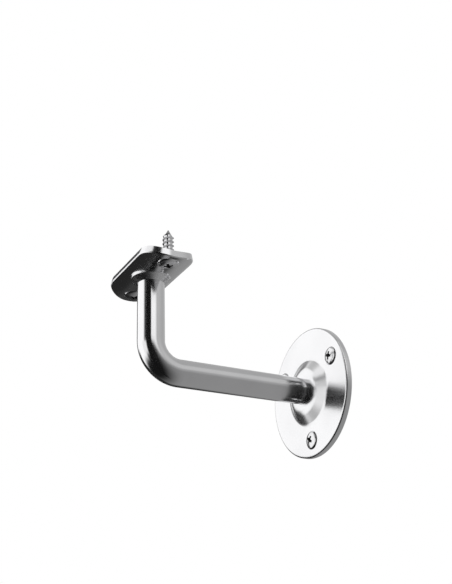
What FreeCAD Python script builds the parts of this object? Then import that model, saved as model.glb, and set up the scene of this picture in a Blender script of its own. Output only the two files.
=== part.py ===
"""Wall bracket for a tubular handrail: a bent rod between a round wall plate and a curved saddle.

+X runs along the handrail, +Y points into the wall and +Z is up. The origin is the centre of the
wall plate's back face, so the wall is the plane Y = 0 and the arm reaches out towards -Y.
"""

import FreeCAD, Part
import math
import os
import Sketcher

DRIVING_SIZES = {
    # bent rod
    "rod_dia": 12.0,
    "reach": 82.0,               # wall to the middle of the handrail
    "bend_radius": 13.0,         # of the rod's centre line
    "rod_end_gap": 0.6,          # the rod stops this far short of the wall
    # wall plate, a rosette pressed from sheet
    "plate_dia": 60.0,
    "plate_thick": 3.0,
    "rim_bevel": 0.5,
    "dome_height": 3.4,          # the dome's top above the plate's face
    "dome_top_dia": 15.0,        # flat top round the rod
    "dome_crown_round": 7.3,
    "dome_foot_round": 3.5,
    "dome_foot_dia": 32.46,      # where the dome runs out into the face
    "hollow_floor_dia": 19.2,    # the pressed hollow behind the dome
    "hollow_mouth_dia": 30.4,
    "plate_weld_dia": 17.2,
    "plate_weld_length": 2.4,    # along the rod
    # saddle plate, pressed to the handrail's curve
    "rail_dia": 42.4,
    "saddle_thick": 3.0,
    "saddle_length": 50.0,
    "saddle_width": 26.0,        # of the flat blank, measured round the underside
    "saddle_lean": 19.0,         # of the long sides, in degrees, towards the handrail
    "saddle_corner": 12.2,       # in plan, level with the underside's lowest line
    "saddle_edge_bevel": 0.4,
    "saddle_height": 41.5,       # rod's axis to the saddle's underside
    "saddle_weld_dia": 17.6,     # level with the saddle's lowest line
    "saddle_weld_drop": 2.1,
    # screws: a countersunk head, a plain neck and a thread's outside
    "cone_angle": 90.0,
    "wall_circle_dia": 45.0,
    "wall_hole_play": 0.3,       # hole against thread, in diameter
    "wall_head_dia": 8.5,
    "wall_neck_dia": 4.1,
    "wall_shank_dia": 4.5,
    "wall_screw_length": 35.0,   # head's rim to the tip
    "rail_screw_gap": 36.0,
    "rail_hole_play": 0.2,
    "rail_head_dia": 9.5,
    "rail_head_sink": 0.35,      # head's rim above the saddle's lowest line
    "rail_neck_dia": 4.6,
    "rail_neck_rise": 0.5,       # plain neck above the saddle's lowest seat line
    "rail_shank_dia": 5.0,
    "rail_screw_length": 16.0,
}

WALL_SCREW_ANGLES = (30, 150, 270)
ORIGIN = (-1, 1)                 # a sketch's own origin point
H_AXIS, V_AXIS = -1, -2          # a sketch's own axes
START, END, CENTRE = 1, 2, 3     # points of a line or an arc


# ---------------------------------------------------------------- document and sheet

doc = FreeCAD.newDocument("HandrailBracket")


def make_sheet():
    """The driving dimensions, one aliased cell each, with its name in the cell beside it."""
    sheet = doc.addObject("Spreadsheet::Sheet", "Sizes")
    for row, (alias, value) in enumerate(DRIVING_SIZES.items(), start=1):
        sheet.set(f"A{row}", alias)
        sheet.set(f"B{row}", str(value))
        sheet.setAlias(f"B{row}", alias)
    doc.recompute()
    return sheet


sizes = make_sheet()


def size(expression):
    """The value in millimetres of an expression of the sheet's aliases."""
    return float(sizes.evalExpression(expression))


# ---------------------------------------------------------------- bodies and sketches

def new_body(label):
    body = doc.addObject("PartDesign::Body", label)
    body.Label = label
    return body


def new_feature(body, kind, name, **values):
    """A feature of the body: plain values are set, and text that starts with = is an expression."""
    feature = body.newObject(f"PartDesign::{kind}", name)
    for key, value in values.items():
        if isinstance(value, str) and value.startswith("="):
            feature.setExpression(key, value[1:])
        else:
            setattr(feature, key, value)
    return feature


def origin_plane(body, role):
    return next(f for f in body.Origin.OriginFeatures if f.Role == role)


def new_sketch(body, name, plane, **shift):
    """A sketch on one of the body's origin planes; x, y and z shift it by expressions, in its own axes.

    A sketch on the YZ plane has Y to its right, Z up and X as its normal. One on the XZ plane has X to
    its right, Z up and -Y as its normal.
    """
    sketch = body.newObject("Sketcher::SketchObject", name)
    sketch.AttachmentSupport = [(origin_plane(body, plane), "")]
    sketch.MapMode = "FlatFace"
    for axis, expression in shift.items():
        sketch.setExpression(f"AttachmentOffset.Base.{axis}", expression)
    return sketch


def line(sketch, start, end):
    return sketch.addGeometry(Part.LineSegment(FreeCAD.Vector(*start), FreeCAD.Vector(*end)), False)


def circle(sketch, centre, radius):
    ring = Part.Circle(FreeCAD.Vector(*centre), FreeCAD.Vector(0, 0, 1), radius)
    return sketch.addGeometry(ring, False)


def arc(sketch, centre, radius, start_degrees, end_degrees):
    """An arc that runs anticlockwise from its start to its end."""
    ring = Part.Circle(FreeCAD.Vector(*centre), FreeCAD.Vector(0, 0, 1), radius)
    span = Part.ArcOfCircle(ring, math.radians(start_degrees), math.radians(end_degrees))
    return sketch.addGeometry(span, False)


def direction(start, end):
    """The heading in degrees from one point to another."""
    return math.degrees(math.atan2(end[1] - start[1], end[0] - start[0]))


def tie(sketch, kind, *where):
    sketch.addConstraint(Sketcher.Constraint(kind, *where))


def dimension(sketch, name, kind, *where, to):
    """A named dimension of the sketch, bound to an expression of the sheet."""
    index = sketch.addConstraint(Sketcher.Constraint(kind, *where, size(to)))
    sketch.renameConstraint(index, name)
    sketch.setExpression(f"Constraints.{name}", to)


def closed_chain(sketch, points):
    """Straight lines round the points, joined end to end; gives the lines' numbers."""
    lines = [line(sketch, a, b) for a, b in zip(points, points[1:] + points[:1])]
    for here, after in zip(lines, lines[1:] + lines[:1]):
        tie(sketch, "Coincident", here, END, after, START)
    return lines


def centred_circle(sketch, radius):
    """A circle about the sketch's origin; radius is an expression."""
    ring = circle(sketch, (0, 0), size(radius))
    tie(sketch, "Coincident", ring, CENTRE, *ORIGIN)
    dimension(sketch, "radius", "Radius", ring, to=radius)


def centred_rectangle(sketch, width, height):
    """A rectangle about the sketch's origin; width and height are expressions."""
    x, y = size(width) / 2, size(height) / 2
    bottom, right, top, left = closed_chain(sketch, [(-x, -y), (x, -y), (x, y), (-x, y)])
    for side in (bottom, top):
        tie(sketch, "Horizontal", side)
    for side in (right, left):
        tie(sketch, "Vertical", side)
    tie(sketch, "Symmetric", bottom, START, top, START, *ORIGIN)
    dimension(sketch, "width", "DistanceX", bottom, START, bottom, END, to=width)
    dimension(sketch, "height", "DistanceY", right, START, right, END, to=height)


def rounded_rectangle(sketch, width, height, corner):
    """A rectangle about the sketch's origin with round corners; the sizes are expressions."""
    x, y, radius = size(width) / 2, size(height) / 2, size(corner)
    sides, corners = [], []
    for turn, (u, v) in enumerate(((x, y), (y, x), (x, y), (y, x))):
        quarter = math.radians(90 * turn)

        def turned(a, b):
            return (a * math.cos(quarter) - b * math.sin(quarter),
                    a * math.sin(quarter) + b * math.cos(quarter))

        sides.append(line(sketch, turned(u, radius - v), turned(u, v - radius)))
        corners.append(arc(sketch, turned(u - radius, v - radius), radius, 90 * turn, 90 * turn + 90))
    for turn, side in enumerate(sides):
        tie(sketch, "Tangent", side, END, corners[turn], START)
        tie(sketch, "Tangent", corners[turn], END, sides[(turn + 1) % 4], START)
        tie(sketch, "Horizontal" if turn % 2 else "Vertical", side)
    for other in corners[1:]:
        tie(sketch, "Equal", corners[0], other)
    tie(sketch, "Symmetric", corners[0], CENTRE, corners[2], CENTRE, *ORIGIN)
    dimension(sketch, "corner", "Radius", corners[0], to=corner)
    dimension(sketch, "width", "DistanceX", sides[2], START, sides[0], START, to=width)
    dimension(sketch, "height", "DistanceY", sides[3], START, sides[1], START, to=height)


# ---------------------------------------------------------------- the handrail's curve

UNDERSIDE = "(Sizes.rail_dia / 2 + Sizes.saddle_thick)"    # radius of the saddle's underside
RAIL_AXIS_HEIGHT = f"(Sizes.saddle_height + {UNDERSIDE})"


def rail_sketch(body, name, radius):
    """A circle about the handrail's axis, seen along it."""
    sketch = new_sketch(body, name, "YZ_Plane", x="-Sizes.reach", y=RAIL_AXIS_HEIGHT)
    centred_circle(sketch, radius)
    return sketch


def cut_through(body, sketch, name):
    """Cut the sketch's area out of the body, all along X, and make sure that this took something."""
    doc.recompute()
    before = body.Shape.Volume
    new_feature(body, "Pocket", name, Profile=sketch, Type="ThroughAll", SideType="Symmetric")
    doc.recompute()
    if body.Shape.Volume >= before:
        raise RuntimeError(f"{name} cut nothing")


def cope_to_saddle(body):
    """Trim the top of a piece to the curve of the saddle's underside, so that it meets it all over."""
    cut_through(body, rail_sketch(body, f"{body.Label}_cope_circle", UNDERSIDE), f"{body.Label}_cope")


# ---------------------------------------------------------------- arm

def make_arm():
    """The rod: swept along its centre line, square at the wall and coped to the saddle."""
    body = new_body("arm")
    section = new_sketch(body, "rod_section", "XZ_Plane", z="Sizes.rod_end_gap")
    centred_circle(section, "Sizes.rod_dia / 2")

    path = new_sketch(body, "rod_path", "YZ_Plane")
    gap, reach, bend = (size(f"Sizes.{name}") for name in ("rod_end_gap", "reach", "bend_radius"))
    top = "(Sizes.saddle_height + Sizes.saddle_thick / 2)"
    flat = line(path, (-gap, 0), (bend - reach, 0))
    elbow = arc(path, (bend - reach, bend), bend, 180, 270)
    upright = line(path, (-reach, bend), (-reach, size(top)))
    tie(path, "Horizontal", flat)
    tie(path, "Vertical", upright)
    tie(path, "PointOnObject", flat, START, H_AXIS)
    tie(path, "Tangent", flat, END, elbow, END)
    tie(path, "Tangent", elbow, START, upright, START)
    dimension(path, "end_gap", "DistanceX", flat, START, *ORIGIN, to="Sizes.rod_end_gap")
    dimension(path, "bend", "Radius", elbow, to="Sizes.bend_radius")
    dimension(path, "reach", "DistanceX", upright, END, *ORIGIN, to="Sizes.reach")
    dimension(path, "top", "DistanceY", *ORIGIN, upright, END, to=top)
    new_feature(body, "AdditivePipe", "rod", Profile=section, Spine=path)
    cope_to_saddle(body)
    return body


# ---------------------------------------------------------------- wall plate

def rosette_section(body):
    """Half section of the pressed plate, with radius upwards and the wall on the vertical axis."""
    sketch = new_sketch(body, "rosette_section", "YZ_Plane")
    rim, bore_r, top_r, foot_r, floor_r, mouth_r = (
        size(f"Sizes.{name}_dia / 2") for name in
        ("plate", "rod", "dome_top", "dome_foot", "hollow_floor", "hollow_mouth"))
    thick, bevel, rise, crown_round, foot_round = (
        size(f"Sizes.{name}") for name in
        ("plate_thick", "rim_bevel", "dome_height", "dome_crown_round", "dome_foot_round"))
    out = -thick - rise
    crown, foot = (out + crown_round, top_r), (-thick - foot_round, foot_r)
    slant = direction(crown, foot) + math.degrees(math.acos((crown_round + foot_round)
                                                            / math.dist(crown, foot)))
    lean = (math.cos(math.radians(slant)), math.sin(math.radians(slant)))
    flank_low = (foot[0] - foot_round * lean[0], foot[1] - foot_round * lean[1])
    flank_high = (crown[0] + crown_round * lean[0], crown[1] + crown_round * lean[1])

    seat = line(sketch, (0, mouth_r), (0, rim))
    edge = line(sketch, (0, rim), (bevel - thick, rim))
    rim_line = line(sketch, (bevel - thick, rim), (-thick, rim - bevel))
    face = line(sketch, (-thick, rim - bevel), (-thick, foot_r))
    foot_arc = arc(sketch, foot, foot_round, slant + 180, 360)
    flank = line(sketch, flank_low, flank_high)
    crown_arc = arc(sketch, crown, crown_round, slant, 180)
    top = line(sketch, (out, top_r), (out, bore_r))
    bore = line(sketch, (out, bore_r), (-rise, bore_r))
    back_floor = line(sketch, (-rise, bore_r), (-rise, floor_r))
    back_flank = line(sketch, (-rise, floor_r), (0, mouth_r))

    for pair in ((seat, edge), (edge, rim_line), (rim_line, face), (top, bore), (bore, back_floor),
                 (back_floor, back_flank), (back_flank, seat)):
        tie(sketch, "Coincident", pair[0], END, pair[1], START)
    tie(sketch, "Tangent", face, END, foot_arc, END)
    tie(sketch, "Tangent", foot_arc, START, flank, START)
    tie(sketch, "Tangent", flank, END, crown_arc, START)
    tie(sketch, "Tangent", crown_arc, END, top, START)
    tie(sketch, "PointOnObject", seat, START, V_AXIS)
    for upright in (seat, face, top, back_floor):
        tie(sketch, "Vertical", upright)
    for level in (edge, bore):
        tie(sketch, "Horizontal", level)
    dimension(sketch, "rim", "DistanceY", *ORIGIN, seat, END, to="Sizes.plate_dia / 2")
    dimension(sketch, "thick", "DistanceX", face, START, *ORIGIN, to="Sizes.plate_thick")
    dimension(sketch, "bevel_in", "DistanceX", rim_line, END, rim_line, START, to="Sizes.rim_bevel")
    dimension(sketch, "bevel_down", "DistanceY", rim_line, END, rim_line, START, to="Sizes.rim_bevel")
    dimension(sketch, "foot_round", "Radius", foot_arc, to="Sizes.dome_foot_round")
    dimension(sketch, "foot", "DistanceY", *ORIGIN, foot_arc, END, to="Sizes.dome_foot_dia / 2")
    dimension(sketch, "crown_round", "Radius", crown_arc, to="Sizes.dome_crown_round")
    dimension(sketch, "top", "DistanceY", *ORIGIN, top, START, to="Sizes.dome_top_dia / 2")
    dimension(sketch, "top_out", "DistanceX", top, START, *ORIGIN,
              to="Sizes.plate_thick + Sizes.dome_height")
    dimension(sketch, "bore", "DistanceY", *ORIGIN, bore, START, to="Sizes.rod_dia / 2")
    dimension(sketch, "hollow_depth", "DistanceX", back_floor, START, *ORIGIN, to="Sizes.dome_height")
    dimension(sketch, "hollow_floor", "DistanceY", *ORIGIN, back_floor, END,
              to="Sizes.hollow_floor_dia / 2")
    dimension(sketch, "hollow_mouth", "DistanceY", *ORIGIN, seat, START,
              to="Sizes.hollow_mouth_dia / 2")
    return sketch


def make_wall_plate():
    """The rosette: a disc pressed up into a dome round the rod, with three countersunk holes."""
    body = new_body("wall_plate")
    section = rosette_section(body)
    new_feature(body, "Revolution", "rosette", Profile=section, ReferenceAxis=(section, ["H_Axis"]),
                Angle=360.0)
    doc.recompute()

    centre = new_sketch(body, "first_screw_hole", "XZ_Plane", z="Sizes.plate_thick")
    across = f"Sizes.wall_circle_dia / 2 * cos({WALL_SCREW_ANGLES[0]} deg)"
    up = f"Sizes.wall_circle_dia / 2 * sin({WALL_SCREW_ANGLES[0]} deg)"
    mark = circle(centre, (size(across), size(up)), size("Sizes.wall_shank_dia / 2"))
    dimension(centre, "across", "DistanceX", *ORIGIN, mark, CENTRE, to=across)
    dimension(centre, "up", "DistanceY", *ORIGIN, mark, CENTRE, to=up)
    dimension(centre, "radius", "Radius", mark, to="Sizes.wall_shank_dia / 2")
    doc.recompute()
    before = body.Shape.Volume
    hole = new_feature(body, "Hole", "countersunk_hole", Profile=centre, DepthType="ThroughAll",
                       Diameter="=Sizes.wall_shank_dia + Sizes.wall_hole_play",
                       HoleCutType="Countersink",
                       HoleCutDiameter="=Sizes.wall_head_dia",
                       HoleCutCountersinkAngle="=Sizes.cone_angle")
    new_feature(body, "PolarPattern", "three_holes", Originals=[hole], Axis=(centre, ["N_Axis"]),
                Occurrences=len(WALL_SCREW_ANGLES), Angle=360.0)
    body.Tip = body.Group[-1]
    doc.recompute()
    print("wall plate: holes took", round(before - body.Shape.Volume, 1), "mm3")
    return body


def make_plate_weld():
    """The weld in the rosette's hollow, between the rod's end and the back of the plate."""
    body = new_body("plate_weld")
    sketch = new_sketch(body, "plate_weld_section", "YZ_Plane")
    floor, length = -size("Sizes.dome_height"), size("Sizes.plate_weld_length")
    inner, outer = size("Sizes.rod_dia / 2"), size("Sizes.plate_weld_dia / 2")
    back, slope, along_rod = closed_chain(sketch, [(floor, inner), (floor, outer),
                                                   (floor + length, inner)])
    tie(sketch, "Vertical", back)
    tie(sketch, "Horizontal", along_rod)
    dimension(sketch, "floor", "DistanceX", back, START, *ORIGIN, to="Sizes.dome_height")
    dimension(sketch, "rod", "DistanceY", *ORIGIN, back, START, to="Sizes.rod_dia / 2")
    dimension(sketch, "toe", "DistanceY", *ORIGIN, slope, START, to="Sizes.plate_weld_dia / 2")
    dimension(sketch, "length", "DistanceX", along_rod, END, along_rod, START,
              to="Sizes.plate_weld_length")
    new_feature(body, "Revolution", "plate_weld_ring", Profile=sketch,
                ReferenceAxis=(sketch, ["H_Axis"]), Angle=360.0)
    return body


# ---------------------------------------------------------------- saddle plate and its weld

def saddle_blank(body):
    """The saddle before its thickness is cut: its outline, with the long sides leaning inwards."""
    half_angle = f"(Sizes.saddle_width / 2 / {UNDERSIDE} * 180 deg / pi)"
    edge_out, edge_deep = f"{UNDERSIDE} * sin({half_angle})", f"{UNDERSIDE} * cos({half_angle})"
    lean = "tan(Sizes.saddle_lean * 1 deg)"
    layers = []
    for name, depth in (("low", UNDERSIDE),
                        ("high", "(Sizes.rail_dia / 2 - 1.5 * Sizes.saddle_thick)")):
        outline = new_sketch(body, f"outline_{name}", "XY_Plane", y="-Sizes.reach",
                             z=f"{RAIL_AXIS_HEIGHT} - {depth}")
        rounded_rectangle(outline, "Sizes.saddle_length",
                          f"2 * ({edge_out} - ({edge_deep} - {depth}) * {lean})",
                          f"Sizes.saddle_corner - ({UNDERSIDE} - {depth}) * {lean}")
        layers.append(outline)
    return new_feature(body, "AdditiveLoft", "saddle_blank", Profile=layers[0], Sections=layers[1:],
                       Ruled=True)


def curved_edges(shape, radius):
    """The names of the edges that lie at a radius from the handrail's axis."""
    reach, height = size("Sizes.reach"), size(RAIL_AXIS_HEIGHT)

    def lies_there(edge):
        return all(abs(math.hypot(corner.Y + reach, corner.Z - height) - radius) < 1e-3
                   for corner in edge.Vertexes)

    return [f"Edge{n}" for n, edge in enumerate(shape.Edges, start=1) if lies_there(edge)]


def rail_hole_section(body):
    """Half section of a countersunk hole, with its zero at the rim of the screw's head."""
    sketch = new_sketch(body, "rail_hole_section", "XZ_Plane", x="Sizes.rail_screw_gap / 2",
                        y="Sizes.saddle_height + Sizes.rail_head_sink", z="Sizes.reach")
    bore = "((Sizes.rail_shank_dia + Sizes.rail_hole_play) / 2)"
    throat = f"(Sizes.rail_head_dia / 2 - {bore}) / tan(Sizes.cone_angle / 2 * 1 deg)"
    head_r, bore_r, depth, end = (size(e) for e in ("Sizes.rail_head_dia / 2", bore, throat,
                                                    "2 * Sizes.saddle_thick"))
    floor, mouth, cone, wall, ceiling, axis = closed_chain(
        sketch, [(0, -end), (head_r, -end), (head_r, 0), (bore_r, depth), (bore_r, end), (0, end)])
    for level in (floor, ceiling):
        tie(sketch, "Horizontal", level)
    for upright in (mouth, wall, axis):
        tie(sketch, "Vertical", upright)
    tie(sketch, "PointOnObject", floor, START, V_AXIS)
    tie(sketch, "PointOnObject", cone, START, H_AXIS)
    dimension(sketch, "head", "DistanceX", floor, START, floor, END, to="Sizes.rail_head_dia / 2")
    dimension(sketch, "bore", "DistanceX", ceiling, END, ceiling, START, to=bore)
    dimension(sketch, "throat", "DistanceY", cone, START, cone, END, to=throat)
    dimension(sketch, "below", "DistanceY", floor, START, *ORIGIN, to="2 * Sizes.saddle_thick")
    dimension(sketch, "above", "DistanceY", *ORIGIN, ceiling, START, to="2 * Sizes.saddle_thick")
    return sketch


def make_saddle_plate():
    """The saddle: a curved strip with round corners, a soft lower edge and two countersunk holes."""
    body = new_body("saddle_plate")
    saddle_blank(body)
    outside = rail_sketch(body, "outside_of_saddle", UNDERSIDE)
    centred_rectangle(outside, "4 * Sizes.rail_dia", "4 * Sizes.rail_dia")
    cut_through(body, outside, "underside")
    cut_through(body, rail_sketch(body, "handrail_circle", "Sizes.rail_dia / 2"), "seat")
    seat = body.Tip
    new_feature(body, "Chamfer", "soft_edges", Size="=Sizes.saddle_edge_bevel",
                Base=(seat, curved_edges(seat.Shape, size(UNDERSIDE))))
    doc.recompute()
    before = body.Shape.Volume
    section = rail_hole_section(body)
    hole = new_feature(body, "Groove", "countersunk_hole", Profile=section,
                       ReferenceAxis=(section, ["V_Axis"]), Angle=360.0)
    doc.recompute()
    new_feature(body, "Mirrored", "two_holes", Originals=[hole],
                MirrorPlane=(origin_plane(body, "YZ_Plane"), [""]))
    body.Tip = body.Group[-1]
    doc.recompute()
    print("saddle: holes took", round(before - body.Shape.Volume, 1), "mm3")
    return body


def make_saddle_weld():
    """The collar of weld that spreads from the rod's top to the saddle's underside."""
    body = new_body("saddle_weld")
    sketch = new_sketch(body, "saddle_weld_section", "XZ_Plane", y="Sizes.saddle_height",
                        z="Sizes.reach")
    inner, outer, low, high = (size(e) for e in ("Sizes.rod_dia / 2", "Sizes.saddle_weld_dia / 2",
                                                 "-Sizes.saddle_weld_drop", "Sizes.saddle_thick"))
    slope, toe, lid, along_rod = closed_chain(sketch, [(inner, low), (outer, 0), (outer, high),
                                                       (inner, high)])
    for upright in (toe, along_rod):
        tie(sketch, "Vertical", upright)
    tie(sketch, "Horizontal", lid)
    tie(sketch, "PointOnObject", toe, START, H_AXIS)
    dimension(sketch, "rod", "DistanceX", *ORIGIN, slope, START, to="Sizes.rod_dia / 2")
    dimension(sketch, "toe", "DistanceX", *ORIGIN, slope, END, to="Sizes.saddle_weld_dia / 2")
    dimension(sketch, "drop", "DistanceY", slope, START, *ORIGIN, to="Sizes.saddle_weld_drop")
    dimension(sketch, "top", "DistanceY", *ORIGIN, lid, START, to="Sizes.saddle_thick")
    new_feature(body, "Revolution", "collar", Profile=sketch, ReferenceAxis=(sketch, ["V_Axis"]),
                Angle=360.0)
    cope_to_saddle(body)
    return body


# ---------------------------------------------------------------- screws

def screw_section(body, kind, neck_end):
    """Half section of a screw, with its axis upright, its tip up and its head's rim at zero."""
    sketch = new_sketch(body, f"{body.Label}_section", "XZ_Plane")
    head, neck, shank, length = (f"Sizes.{kind}_{name}" for name in
                                 ("head_dia", "neck_dia", "shank_dia", "screw_length"))
    cone = f"({head} - {neck}) / 2 / tan(Sizes.cone_angle / 2 * 1 deg)"
    end, step_at, head_r, neck_r, shank_r, throat = (
        size(e) for e in (length, neck_end, f"{head} / 2", f"{neck} / 2", f"{shank} / 2", cone))
    axis, top, cone_line, neck_line, step, thread, tip = closed_chain(
        sketch, [(0, end), (0, 0), (head_r, 0), (neck_r, throat), (neck_r, step_at),
                 (shank_r, step_at), (shank_r, end)])
    for upright in (axis, neck_line, thread):
        tie(sketch, "Vertical", upright)
    for level in (top, step, tip):
        tie(sketch, "Horizontal", level)
    tie(sketch, "Coincident", axis, END, *ORIGIN)
    dimension(sketch, "head", "DistanceX", *ORIGIN, cone_line, START, to=f"{head} / 2")
    dimension(sketch, "neck", "DistanceX", *ORIGIN, neck_line, START, to=f"{neck} / 2")
    dimension(sketch, "throat", "DistanceY", *ORIGIN, neck_line, START, to=cone)
    dimension(sketch, "neck_end", "DistanceY", *ORIGIN, step, START, to=neck_end)
    dimension(sketch, "shank", "DistanceX", *ORIGIN, thread, START, to=f"{shank} / 2")
    dimension(sketch, "length", "DistanceY", *ORIGIN, thread, END, to=length)
    return sketch


def make_screw(label, kind, neck_end, placement):
    """A countersunk screw, standing on its head until it is placed."""
    body = new_body(label)
    section = screw_section(body, kind, neck_end)
    new_feature(body, "Revolution", f"{label}_turned", Profile=section,
                ReferenceAxis=(section, ["V_Axis"]), Angle=360.0)
    doc.recompute()
    body.Placement = placement
    return body


def make_wall_screws():
    """Three screws on the rosette's hole circle, pointing into the wall."""
    into_wall = FreeCAD.Rotation(FreeCAD.Vector(1, 0, 0), -90)
    radius, face = size("Sizes.wall_circle_dia / 2"), -size("Sizes.plate_thick")
    screws = []
    for number, degrees in enumerate(WALL_SCREW_ANGLES, start=1):
        turn = math.radians(degrees)
        seat = FreeCAD.Vector(radius * math.cos(turn), face, radius * math.sin(turn))
        screws.append(make_screw(f"wall_screw_{number}", "wall", "Sizes.plate_thick",
                                 FreeCAD.Placement(seat, into_wall)))
    return screws


def make_rail_screws():
    """Two screws through the saddle, pointing up into the handrail."""
    middle, reach = size("Sizes.rail_screw_gap / 2"), size("Sizes.reach")
    level = size("Sizes.saddle_height + Sizes.rail_head_sink")
    neck_end = "Sizes.saddle_thick + Sizes.rail_neck_rise - Sizes.rail_head_sink"
    screws = []
    for number, side in enumerate((-1, 1), start=1):
        seat = FreeCAD.Vector(side * middle, -reach, level)
        screws.append(make_screw(f"rail_screw_{number}", "rail", neck_end,
                                 FreeCAD.Placement(seat, FreeCAD.Rotation())))
    return screws


# ---------------------------------------------------------------- build, check and export

def check(pieces):
    """Stop if any feature failed or any piece is not one whole, valid solid."""
    for item in doc.Objects:
        if "Invalid" in item.State or "Error" in item.State:
            raise RuntimeError(f"{item.Name}: {item.State}")
    for piece in pieces:
        shape = piece.Shape
        if shape.isNull() or not shape.isValid() or len(shape.Solids) != 1:
            raise RuntimeError(f"{piece.Label}: not one valid solid")


def export(pieces):
    """Write each piece to a STEP file that has its label as its name."""
    os.makedirs("parts", exist_ok=True)
    for piece in pieces:
        piece.Shape.exportStep(f"parts/{piece.Label}.step")
        box = piece.Shape.BoundBox
        print(f"{piece.Label}: {piece.Shape.Volume:.0f} mm3, "
              f"{box.XLength:.1f} x {box.YLength:.1f} x {box.ZLength:.1f} mm")


def main():
    pieces = [make_arm(), make_wall_plate(), make_plate_weld(), make_saddle_plate(),
              make_saddle_weld(), *make_wall_screws(), *make_rail_screws()]
    doc.recompute()
    check(pieces)
    export(pieces)


main()
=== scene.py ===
"""Looks of a wall bracket for a tubular handrail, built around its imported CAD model.

The CAD model is the fixed frame: +X runs along the handrail, +Y points into the wall and +Z is up,
with the origin at the centre of the wall plate's back face. All lengths are in metres.
"""

import logging
import math
from collections.abc import Iterable
from dataclasses import dataclass, field
from enum import Enum

import bmesh
import bpy
from mathutils import Matrix, Vector


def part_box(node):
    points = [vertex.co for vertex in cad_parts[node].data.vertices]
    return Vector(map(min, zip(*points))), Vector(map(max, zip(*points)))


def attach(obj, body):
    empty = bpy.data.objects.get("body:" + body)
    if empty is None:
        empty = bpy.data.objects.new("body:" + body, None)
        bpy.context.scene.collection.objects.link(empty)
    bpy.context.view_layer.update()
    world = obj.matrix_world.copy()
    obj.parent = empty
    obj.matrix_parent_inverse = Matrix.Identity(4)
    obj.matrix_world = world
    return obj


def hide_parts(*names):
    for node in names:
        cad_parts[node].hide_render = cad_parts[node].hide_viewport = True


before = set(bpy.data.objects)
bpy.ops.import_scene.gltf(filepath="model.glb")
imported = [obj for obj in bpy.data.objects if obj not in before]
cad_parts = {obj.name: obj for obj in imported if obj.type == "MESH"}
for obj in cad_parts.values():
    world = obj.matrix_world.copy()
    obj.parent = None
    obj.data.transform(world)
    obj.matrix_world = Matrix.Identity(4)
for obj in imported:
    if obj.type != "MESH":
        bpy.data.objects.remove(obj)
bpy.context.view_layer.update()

log = logging.getLogger("handrail_bracket")

MM = 0.001
BEND_RADIUS = 13 * MM            # of the rod's centre line
MERGE = 0.001 * MM               # points closer than this are one after a full turn
SLIVER = 0.004 * MM              # edges shorter than this are closed up after a cut
OVERCUT = 1.0 * MM               # how far a cutting shape stands clear of what it cuts
QUARTER_TURN = 0.25              # of the shader's anisotropic rotation
Socket = bpy.types.NodeSocket


# ---------------------------------------------------------------- node helpers

@dataclass
class NodeBench:
    """Adds and wires shader nodes in one node tree.

    Args:
        tree: The node tree that the nodes go into.
    """

    tree: bpy.types.NodeTree

    def add(self, kind: str, **settings: object) -> bpy.types.Node:
        """Adds a node.

        Args:
            kind: The node's class name without its ShaderNode prefix.
            settings: Properties to set on the node.

        Returns:
            The new node.
        """
        node = self.tree.nodes.new(f"ShaderNode{kind}")
        for name, value in settings.items():
            setattr(node, name, value)
        return node

    def wire(self, source: object, target: Socket) -> None:
        """Feeds a value into a socket: a socket is linked and a plain value is set.

        Args:
            source: An output socket, a number or a tuple.
            target: The input socket.
        """
        if isinstance(source, bpy.types.NodeSocket):
            self.tree.links.new(source, target)
        else:
            target.default_value = source

    def math(self, operation: str, *values: object) -> Socket:
        """Adds a Math node and gives its result.

        Args:
            operation: The Math node's operation.
            values: Sockets or numbers for its inputs, in order.

        Returns:
            The node's output socket.
        """
        node = self.add("Math", operation=operation)
        for value, socket in zip(values, node.inputs):
            self.wire(value, socket)
        return node.outputs[0]

    def vector(self, operation: str, *values: object) -> Socket:
        """Adds a Vector Math node and gives its vector.

        Args:
            operation: The node's operation.
            values: Sockets or triples for its inputs, in order.

        Returns:
            The node's vector socket.
        """
        node = self.add("VectorMath", operation=operation)
        for value, socket in zip(values, node.inputs):
            self.wire(value, socket)
        return node.outputs["Vector"]

    def ramp(self, value: object, low: float, high: float, start: object = 0.0,
             end: object = 1.0) -> Socket:
        """Turns a value that runs from low to high smoothly into one from start to end.

        Args:
            value: The socket or number to remap.
            low: Value that gives start.
            high: Value that gives end.
            start: Result at low.
            end: Result at high.

        Returns:
            The remapped value's socket.
        """
        node = self.add("MapRange", interpolation_type="SMOOTHSTEP")
        for source, socket in zip((value, low, high, start, end), node.inputs):
            self.wire(source, socket)
        return node.outputs[0]

    def blend(self, mask: object, under: object, over: object) -> Socket:
        """Lays one value over another where a mask is 1.

        Args:
            mask: Socket that runs from 0 to 1.
            under: Value where the mask is 0.
            over: Value where the mask is 1.

        Returns:
            The blended value's socket.
        """
        node = self.add("MapRange")
        for source, socket in zip((mask, 0.0, 1.0, under, over), node.inputs):
            self.wire(source, socket)
        return node.outputs[0]

    def noise(self, place: Socket, scale: float, detail: float = 2.0) -> Socket:
        """Adds a noise texture.

        Args:
            place: Where it is read.
            scale: Its spots to the metre.
            detail: Its finer layers.

        Returns:
            The texture's value socket.
        """
        node = self.add("TexNoise")
        self.wire(place, node.inputs["Vector"])
        self.wire(scale, node.inputs["Scale"])
        self.wire(detail, node.inputs["Detail"])
        return node.outputs[0]

    def use_group(self, group: bpy.types.NodeTree, **values: object) -> bpy.types.Node:
        """Adds a node group and sets its inputs.

        Args:
            group: The shared group.
            values: Sockets or numbers for its inputs, by name.

        Returns:
            The group's node.
        """
        node = self.add("Group")
        node.node_tree = group
        for name, value in values.items():
            self.wire(value, node.inputs[name])
        return node


# ---------------------------------------------------------------- shared surface effects

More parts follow.
